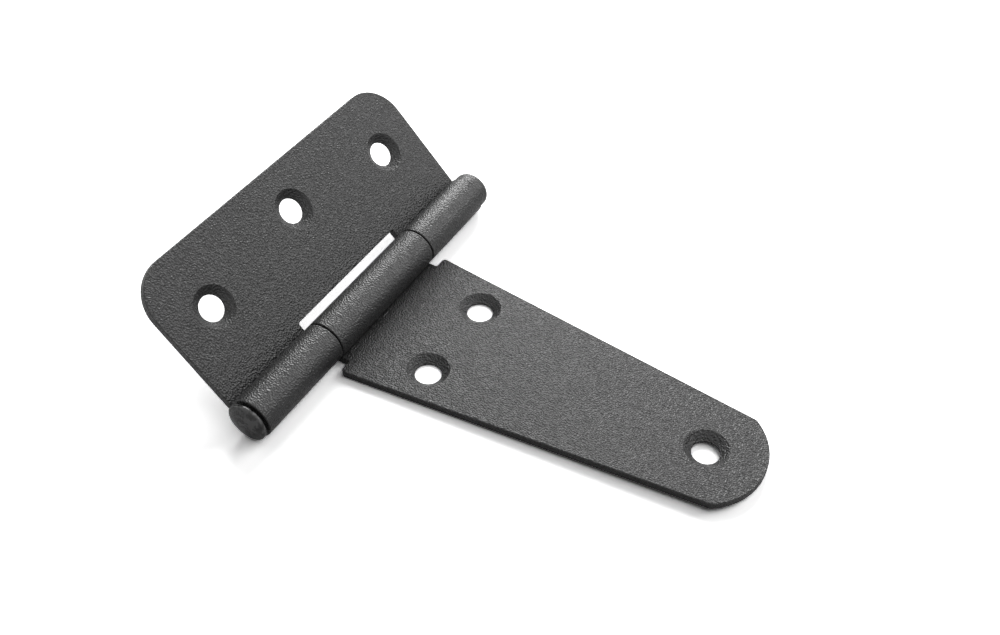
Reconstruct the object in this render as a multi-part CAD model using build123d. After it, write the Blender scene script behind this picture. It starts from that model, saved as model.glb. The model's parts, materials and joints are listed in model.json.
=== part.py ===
from build123d import *
import math
import os

# Triangular strap hinge: a rectangular butt leaf, a tapering strap and the pin that joins them.
# X runs from the pin along the strap, Y along the pin and Z up. The origin is on the strap's
# back face, straight below the pin at the middle of the strap's width. All sizes are millimetres.

# Sheet, pin and the fit between them
sheet_thickness = 1.8
pin_diameter = 6.0
running_clearance = 0.09
edge_break = 0.15
cut_corner_radius = 0.5
roll_end_gap = 0.3

# Knuckles along the pin
middle_knuckle_length = 35.4
split_gap = 0.35
far_knuckle_setback = 2.3

# Butt leaf: its reach is from the pin's axis, and holes are inset from its outer edge and its ends
butt_height = 85.4
butt_reach = 35.7
butt_corner_radius = 9.2
butt_outer_hole_inset = 14.6
butt_middle_hole_inset = 10.5
butt_end_inset = 12.0
notch_clearance = 1.4
setback_overlap = 1.5
butt_rest_angle = 46.0

# Strap: its reach is from the pin's axis, and the pair of holes is placed from the shoulders
strap_reach = 94.4
nose_length = 6.4
nose_width = 24.5
nose_corner_radius = 1.2
shoulder_clearance = 1.0
shoulder_overhang = 3.2
shoulder_corner_radius = 0.9
pair_from_shoulder = 16.0
pair_inset = 10.0
tip_hole_inset = 12.5

# Countersunk screw holes
screw_hole_diameter = 5.9
countersink_flare = 1.85
hole_land = 0.3

# Pin heads: the near one is formed over the knuckle with some play, the far one seats on its knuckle
head_overhang = 1.6
near_head_gap = 0.6
near_head_rim = 1.0
near_head_crown = 0.9
near_head_corner_radius = 0.45
near_head_underside_break = 0.3
far_head_gap = 0.1
far_head_rim = 3.15
far_head_crown = 1.2
far_head_corner_radius = 1.4
far_head_underside_break = 0.1

# Worked out from the sizes above
pin_radius = pin_diameter / 2
bore_radius = pin_radius + running_clearance
knuckle_radius = bore_radius + sheet_thickness
edge_chamfer = min(edge_break, sheet_thickness / 4)
half_height = butt_height / 2
middle_end = middle_knuckle_length / 2
end_knuckle_start = middle_end + split_gap
far_knuckle_end = half_height - far_knuckle_setback
notch_edge_x = knuckle_radius + notch_clearance
setback_x = knuckle_radius - setback_overlap
butt_outer_holes_x = butt_reach - butt_outer_hole_inset
butt_outer_holes_y = half_height - butt_end_inset
butt_middle_hole_x = butt_reach - butt_middle_hole_inset
shoulder_x = knuckle_radius + shoulder_clearance
half_shoulder = middle_end + shoulder_overhang
half_nose = nose_width / 2
nose_start_x = strap_reach - nose_length
strap_pair_x = shoulder_x + pair_from_shoulder
strap_pair_y = half_shoulder - pair_inset
strap_tip_hole_x = strap_reach - tip_hole_inset
hole_radius = screw_hole_diameter / 2
countersink_radius = hole_radius + countersink_flare
head_radius = pin_radius + head_overhang


def roll(start, stop):
    """Roll a tab's sheet up from x = 0 round the pin's bore, from y = start to y = stop."""
    # The free end stops just short of the sheet's own front face.
    end_angle = math.degrees(math.asin((bore_radius - roll_end_gap) / knuckle_radius))
    sweep = 270 + end_angle
    outside = CenterArc((0, 0), knuckle_radius, -90, -sweep)
    inside = CenterArc((0, 0), bore_radius, -90, -sweep)
    free_end = Line(inside @ 1, outside @ 1)
    root = Line(outside @ 0, inside @ 0)
    section = make_face([outside, free_end, inside, root])
    upright = Plane((0, start, knuckle_radius), x_dir=(1, 0, 0), z_dir=(0, -1, 0))
    return extrude(upright * section, amount=stop - start, dir=(0, 1, 0))


def corner_at(outline, x, y):
    """The outline's corner at (x, y)."""
    return [v for v in outline.vertices() if math.hypot(v.X - x, v.Y - y) < 0.01]


def rounded(outline, x, y, radius):
    """Round the outline's corner at (x, y)."""
    return fillet(corner_at(outline, x, y), radius)


def edges_broken(leaf):
    """Break the sheared edges of both faces, from the plate on round the knuckles."""
    heights = (0, sheet_thickness)
    flat = [e for e in leaf.edges() if any(abs(e.center().Z - h) < 0.01 for h in heights)]
    # The line at x = 0, where a tab starts to curve, is no edge of the sheet.
    sheared = [e for e in flat if abs(e.center().X) > 0.01]
    return chamfer(sheared, edge_chamfer)


def screw_hole(x, y):
    """The cutter for a countersunk hole through a sheet that lies on z = 0."""
    slope = countersink_flare / (sheet_thickness - hole_land)
    margin = sheet_thickness / 2
    profile = Polyline(
        (0, -margin),
        (hole_radius, -margin),
        (hole_radius, hole_land),
        (countersink_radius + slope * margin, sheet_thickness + margin),
        (0, sheet_thickness + margin),
        close=True,
    )
    return Pos(x, y, 0) * revolve(Plane.XZ * make_face(profile), Axis.Z)


def strap():
    """The strap: a tapering plate with square shoulders, a rounded nose and one knuckle."""
    nose = ThreePointArc((nose_start_x, half_nose), (strap_reach, 0), (nose_start_x, -half_nose))
    sides = Polyline(
        (nose_start_x, -half_nose),
        (shoulder_x, -half_shoulder),
        (shoulder_x, -middle_end),
        (0, -middle_end),
        (0, middle_end),
        (shoulder_x, middle_end),
        (shoulder_x, half_shoulder),
        (nose_start_x, half_nose),
    )
    outline = make_face([nose, sides])
    for side in (-1, 1):
        outline = rounded(outline, nose_start_x, side * half_nose, nose_corner_radius)
        outline = rounded(outline, shoulder_x, side * half_shoulder, shoulder_corner_radius)
        outline = rounded(outline, shoulder_x, side * middle_end, cut_corner_radius)
    plate = extrude(outline, amount=sheet_thickness)
    leaf = edges_broken(plate + roll(-middle_end, middle_end))
    for side in (-1, 1):
        leaf -= screw_hole(strap_pair_x, side * strap_pair_y)
    return leaf - screw_hole(strap_tip_hole_x, 0)


def butt_leaf():
    """The butt leaf, closed flat on +X first, then turned over to -X and raised to its rest angle."""
    outline_points = [
        (0, -half_height),
        (butt_reach, -half_height),
        (butt_reach, half_height),
        (setback_x, half_height),
        (setback_x, far_knuckle_end),
        (0, far_knuckle_end),
        (0, end_knuckle_start),
        (notch_edge_x, end_knuckle_start),
        (notch_edge_x, -end_knuckle_start),
        (0, -end_knuckle_start),
    ]
    outline = make_face(Polyline(*outline_points, close=True))
    for side in (-1, 1):
        outline = rounded(outline, butt_reach, side * half_height, butt_corner_radius)
        outline = rounded(outline, notch_edge_x, side * end_knuckle_start, cut_corner_radius)
    step_corner_radius = min(cut_corner_radius, far_knuckle_setback / 3)
    for y in (half_height, far_knuckle_end):
        outline = rounded(outline, setback_x, y, step_corner_radius)
    plate = extrude(outline, amount=sheet_thickness)
    leaf = plate + roll(-half_height, -end_knuckle_start) + roll(end_knuckle_start, far_knuckle_end)
    leaf = edges_broken(leaf)
    for side in (-1, 1):
        leaf -= screw_hole(butt_outer_holes_x, side * butt_outer_holes_y)
    leaf -= screw_hole(butt_middle_hole_x, 0)
    pin_axis = Axis((0, 0, knuckle_radius), (0, 1, 0))
    return leaf.mirror(Plane.YZ).rotate(pin_axis, butt_rest_angle)


def pin_head(rim, crown_rise, corner_radius, underside_break, direction):
    """A pan head on y = 0 that grows along +Y or -Y, with rounded shoulders and a shallow crown."""
    sphere_radius = (head_radius**2 + crown_rise**2) / (2 * crown_rise)
    halfway_x = head_radius / 2
    halfway_y = rim + crown_rise - sphere_radius + math.sqrt(sphere_radius**2 - halfway_x**2)
    top = (0, direction * (rim + crown_rise))
    shoulder = (head_radius, direction * rim)
    crown = ThreePointArc(top, (halfway_x, direction * halfway_y), shoulder)
    profile = make_face([crown, Polyline(shoulder, (head_radius, 0), (0, 0), top)])
    profile = rounded(profile, *shoulder, min(corner_radius, rim / 2))
    rim_corner = corner_at(profile, head_radius, 0)
    return revolve(chamfer(rim_corner, min(underside_break, rim / 3)), Axis.Y)


def hinge_pin():
    """The pin: a round shaft through the three knuckles, with a head formed at each end."""
    near_seat = -half_height - near_head_gap
    far_seat = far_knuckle_end + far_head_gap
    profile = make_face(
        Polyline((0, near_seat), (pin_radius, near_seat), (pin_radius, far_seat), (0, far_seat), close=True)
    )
    shaft = revolve(profile, Axis.Y)
    near_head = pin_head(
        near_head_rim, near_head_crown, near_head_corner_radius, near_head_underside_break, -1
    )
    far_head = pin_head(far_head_rim, far_head_crown, far_head_corner_radius, far_head_underside_break, 1)
    heads = Pos(0, near_seat, 0) * near_head + Pos(0, far_seat, 0) * far_head
    return Pos(0, 0, knuckle_radius) * (shaft + heads)


os.makedirs("parts", exist_ok=True)
for name, solid in (("strap", strap()), ("butt_leaf", butt_leaf()), ("hinge_pin", hinge_pin())):
    export_step(solid, f"parts/{name}.step")
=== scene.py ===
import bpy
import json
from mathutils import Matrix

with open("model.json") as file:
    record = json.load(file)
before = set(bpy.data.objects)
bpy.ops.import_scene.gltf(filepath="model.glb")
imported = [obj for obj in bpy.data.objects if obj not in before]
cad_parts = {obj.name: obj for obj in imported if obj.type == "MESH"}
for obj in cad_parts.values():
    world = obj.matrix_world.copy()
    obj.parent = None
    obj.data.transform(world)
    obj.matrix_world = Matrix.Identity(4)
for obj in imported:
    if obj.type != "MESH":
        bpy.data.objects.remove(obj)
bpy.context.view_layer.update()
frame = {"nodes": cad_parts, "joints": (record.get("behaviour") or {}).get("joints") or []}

import json
import math

import bpy
from mathutils import Matrix, Vector

# A triangular strap hinge with a fine-grained black powder coat, on a white table under soft light.
# Everything is in metres. X runs from the pin along the strap, Y along the pin and Z up.
MM = 0.001
WHITE = (1, 1, 1, 1)

# Camera: it looks at a point on the table, from this direction in degrees and this distance
CAMERA_TARGET = (26.47 * MM, 12.10 * MM, 0)
CAMERA_AZIMUTH = -60.64
CAMERA_ELEVATION = 45.48
CAMERA_ROLL = 1.10
CAMERA_DISTANCE = 246.12 * MM
CAMERA_LENS = 38.816
SENSOR_WIDTH = 36.0
CLIP_RANGE = (0.01, 50.0)

# Table and surroundings: the table falls away under the strap's nose by a fraction of a degree
FLOOR_SIZE = 0.7
FLOOR_DROP = 0.02 * MM
FLOOR_SLOPE = 0.6
FLOOR_WHITE = 0.8
FLOOR_EXPOSURE = 2.8
WORLD_FILL = 0.06

# Round softboxes: direction from the hinge in degrees, strength in watts and diameter in metres
SOFTBOX_DISTANCE = 1.0
SOFTBOXES = {
    "back": {"azimuth": 118, "elevation": 31, "power": 10.2, "size": 0.7},
    "right_back": {"azimuth": 57, "elevation": 29, "power": 3.6, "size": 0.7},
    "right_high": {"azimuth": 20, "elevation": 60, "power": 2.6, "size": 1.0},
    "left": {"azimuth": 180, "elevation": 30, "power": 1.4, "size": 0.7},
}

# Powder coat: its tone and its roughness run from the pits to the tops of the grains; the tone's
# darkening into the pits is painted shade
COAT_TONES_WITH_PIT_SHADE = ((0.003, 0.003, 0.0031, 1), (0.028, 0.028, 0.0284, 1))
COAT_ROUGHNESS = (0.47, 0.22)
COAT_SPECULAR = 0.5
GRAIN_SIZE = 0.36 * MM
GRAIN_DETAIL = 0.0
GRAIN_RANGE = (0.35, 0.65)

# Depth of the grain on the rolled knuckles, where the coat lies smoother, and on the rest of each part
KNUCKLE_GRAIN_DEPTH = 0.17 * MM
GRAIN_DEPTHS = {"strap": 0.31 * MM, "butt_leaf": 0.25 * MM, "hinge_pin": KNUCKLE_GRAIN_DEPTH}

# The knuckles reach down to the strap's back, so their radius is the height of the pin's axis. The
# knuckles' depth of grain goes over to the leaves' within a short distance of them.
KNUCKLE_RADIUS = frame["joints"][0]["pos_m"][2]
KNUCKLE_FADE = 0.8 * MM

# The pin's near head has a thinner coat, which is smoother, faintly smudged and rounded at the rim
NEAR_HEAD_ROUGHNESS = (0.26, 0.16)
NEAR_HEAD_GRAIN_DEPTH = 0.02 * MM
RIM_RADIUS = 0.5 * MM
RIM_SAMPLES = 8
SMUDGE_SIZE = 1.3 * MM
SMUDGE_DETAIL = 2.0
SMUDGE_RANGE = (0.40, 0.60)
SMUDGE_TONES = ((0.0, 0.0, 0.0, 1), (0.085, 0.085, 0.086, 1))


def direction(azimuth, elevation):
    """The unit vector that points this many degrees round from +X and above the table."""
    a = math.radians(azimuth)
    e = math.radians(elevation)
    return Vector((math.cos(e) * math.cos(a), math.cos(e) * math.sin(a), math.sin(e)))


def make_camera():
    """The camera, turned about its own line of sight by the roll."""
    data = bpy.data.cameras.new("camera")
    data.lens = CAMERA_LENS
    data.sensor_width = SENSOR_WIDTH
    data.clip_start, data.clip_end = CLIP_RANGE
    camera = bpy.data.objects.new("camera", data)
    towards = direction(CAMERA_AZIMUTH, CAMERA_ELEVATION)
    place = Matrix.Translation(Vector(CAMERA_TARGET) + CAMERA_DISTANCE * towards)
    look = (-towards).to_track_quat("-Z", "Y").to_matrix().to_4x4()
    camera.matrix_world = place @ look @ Matrix.Rotation(math.radians(CAMERA_ROLL), 4, "Z")
    bpy.context.scene.collection.objects.link(camera)
    bpy.context.scene.camera = camera


def make_softbox(name, azimuth, elevation, power, size):
    """A round area lamp that faces the hinge."""
    data = bpy.data.lights.new(name, "AREA")
    data.shape = "DISK"
    data.size = size
    data.energy = power
    lamp = bpy.data.objects.new(name, data)
    towards = direction(azimuth, elevation)
    place = Matrix.Translation(Vector(CAMERA_TARGET) + SOFTBOX_DISTANCE * towards)
    lamp.matrix_world = place @ towards.to_track_quat("Z", "Y").to_matrix().to_4x4()
    bpy.context.scene.collection.objects.link(lamp)


def fill_socket(tree, socket, value):
    """Link an output to the socket, or set the socket's value."""
    if isinstance(value, bpy.types.NodeSocket):
        tree.links.new(value, socket)
    else:
        socket.default_value = value


def node(tree, kind, **inputs):
    """A new shader node; inputs are its sockets' values or the outputs they are linked to."""
    made = tree.nodes.new(kind)
    for name, value in inputs.items():
        fill_socket(tree, made.inputs[name.replace("_", " ")], value)
    return made


def calculate(tree, operation, *terms, kind="ShaderNodeMath", output="Value"):
    """The result of a math node's operation on these values or outputs."""
    made = tree.nodes.new(kind)
    made.operation = operation
    for socket, value in zip(made.inputs, terms):
        fill_socket(tree, socket, value)
    return made.outputs[output]


def ramp(tree, value, reach, ends):
    """A value that runs from one end to the other while the given value crosses its reach."""
    low, high = reach
    first, last = ends
    made = node(tree, "ShaderNodeMapRange", Value=value,
                From_Min=low, From_Max=high, To_Min=first, To_Max=last)
    return made.outputs[0]


def tone_ramp(tree, value, reach, tones):
    """A colour that runs from one tone to the other while the given value crosses its reach."""
    made = node(tree, "ShaderNodeValToRGB", Fac=value)
    for stop, at, tone in zip(made.color_ramp.elements, reach, tones):
        stop.position = at
        stop.color = tone
    return made.outputs["Color"]


def blend(tree, share, first, second):
    """The first value at a share of 0 and the second at 1."""
    return ramp(tree, share, (0, 1), (first, second))


def noise(tree, place, size, detail):
    """An even noise with bumps of about this size."""
    return node(tree, "ShaderNodeTexNoise", Vector=place, Scale=1 / size, Detail=detail).outputs["Fac"]


def seen_directly(tree):
    """1 for rays from the camera and for mirrored or refracted ones, else 0."""
    path = tree.nodes.new("ShaderNodeLightPath").outputs
    mirrored = calculate(tree, "MAXIMUM", path["Is Glossy Ray"], path["Is Transmission Ray"])
    return calculate(tree, "MAXIMUM", path["Is Camera Ray"], mirrored)


def make_world():
    """White surroundings, at full strength where they are seen or mirrored and dim elsewhere."""
    world = bpy.data.worlds.new("surroundings")
    world.use_nodes = True
    tree = world.node_tree
    tree.nodes.clear()
    strength = calculate(tree, "MULTIPLY_ADD", seen_directly(tree), 1 - WORLD_FILL, WORLD_FILL)
    background = node(tree, "ShaderNodeBackground", Color=WHITE, Strength=strength)
    node(tree, "ShaderNodeOutputWorld", Surface=background.outputs[0])
    bpy.context.scene.world = world


def white_table():
    """The table's plain white, which the camera alone sees overexposed."""
    material = bpy.data.materials.new("white_table")
    material.use_nodes = True
    tree = material.node_tree
    tree.nodes.clear()
    camera_ray = tree.nodes.new("ShaderNodeLightPath").outputs["Is Camera Ray"]
    extra = FLOOR_WHITE * (FLOOR_EXPOSURE - 1)
    white = calculate(tree, "MULTIPLY_ADD", camera_ray, extra, FLOOR_WHITE)
    paper = node(tree, "ShaderNodeBsdfDiffuse", Color=white)
    node(tree, "ShaderNodeOutputMaterial", Surface=paper.outputs[0])
    return material


def make_floor():
    """The top of the table, just below the strap's back."""
    half = FLOOR_SIZE / 2
    square = ((-half, -half), (half, -half), (half, half), (-half, half))
    mesh = bpy.data.meshes.new("floor")
    mesh.from_pydata([(x, y, -FLOOR_DROP) for x, y in square], [], [(0, 1, 2, 3)])
    mesh.materials.append(white_table())
    floor = bpy.data.objects.new("floor", mesh)
    floor.rotation_euler.y = math.radians(FLOOR_SLOPE)
    bpy.context.scene.collection.objects.link(floor)


def knuckle_to_leaf(tree, place, on_knuckle, on_leaf):
    """One value on the rolled knuckles and another on the leaves, by the distance from the pin."""
    vector = "ShaderNodeVectorMath"
    axis = (0, 0, KNUCKLE_RADIUS)
    flat = calculate(tree, "MULTIPLY", place, (1, 0, 1), kind=vector, output="Vector")
    distance = calculate(tree, "DISTANCE", flat, axis, kind=vector)
    return ramp(tree, distance, (KNUCKLE_RADIUS, KNUCKLE_RADIUS + KNUCKLE_FADE), (on_knuckle, on_leaf))


def near_half(tree, place):
    """1 on the half of the pin that has the near head, 0 on the other."""
    along = node(tree, "ShaderNodeSeparateXYZ", Vector=place).outputs["Y"]
    return calculate(tree, "LESS_THAN", along, 0.0)


def powder_coat(name, flat_depth, on_pin):
    """A black powder coat of fine raised grains, paler and glossier than the pits between them, whose
    darker tone in the pits is painted shade.
    """
    material = bpy.data.materials.new(name)
    material.use_nodes = True
    tree = material.node_tree
    place = tree.nodes.new("ShaderNodeTexCoord").outputs["Object"]
    grain = noise(tree, place, GRAIN_SIZE, GRAIN_DETAIL)
    # painted shade: the coat's tone darkens into the pits of the grain
    colour = tone_ramp(tree, grain, GRAIN_RANGE, COAT_TONES_WITH_PIT_SHADE)
    pits, tops = COAT_ROUGHNESS
    depth = knuckle_to_leaf(tree, place, KNUCKLE_GRAIN_DEPTH, flat_depth)
    if on_pin:
        near = near_half(tree, place)
        patches = noise(tree, place, SMUDGE_SIZE, SMUDGE_DETAIL)
        smudges = tone_ramp(tree, patches, SMUDGE_RANGE, SMUDGE_TONES)
        colour = node(tree, "ShaderNodeMixRGB", Fac=near, Color1=colour, Color2=smudges).outputs["Color"]
        pits = blend(tree, near, pits, NEAR_HEAD_ROUGHNESS[0])
        tops = blend(tree, near, tops, NEAR_HEAD_ROUGHNESS[1])
        depth = blend(tree, near, depth, NEAR_HEAD_GRAIN_DEPTH)
    bump = node(tree, "ShaderNodeBump", Strength=1.0, Distance=depth, Height=grain)
    if on_pin:
        rims = node(tree, "ShaderNodeBevel", Radius=blend(tree, near, 0.0, RIM_RADIUS))
        rims.samples = RIM_SAMPLES
        tree.links.new(rims.outputs["Normal"], bump.inputs["Normal"])
    coat = {
        "Base Color": colour,
        "Roughness": ramp(tree, grain, GRAIN_RANGE, (pits, tops)),
        "Normal": bump.outputs[0],
        "Specular IOR Level": COAT_SPECULAR,
    }
    for socket, value in coat.items():
        fill_socket(tree, tree.nodes["Principled BSDF"].inputs[socket], value)
    return material


def paint_nodes():
    """Give each part of the hinge its coat."""
    for part, depth in GRAIN_DEPTHS.items():
        slot = frame["nodes"][part].material_slots[0]
        slot.material = powder_coat(part + "_powder_coat", depth, part == "hinge_pin")


bpy.context.scene.view_settings.view_transform = "Standard"
make_camera()
for softbox, settings in SOFTBOXES.items():
    make_softbox(softbox, **settings)
make_world()
make_floor()
paint_nodes()
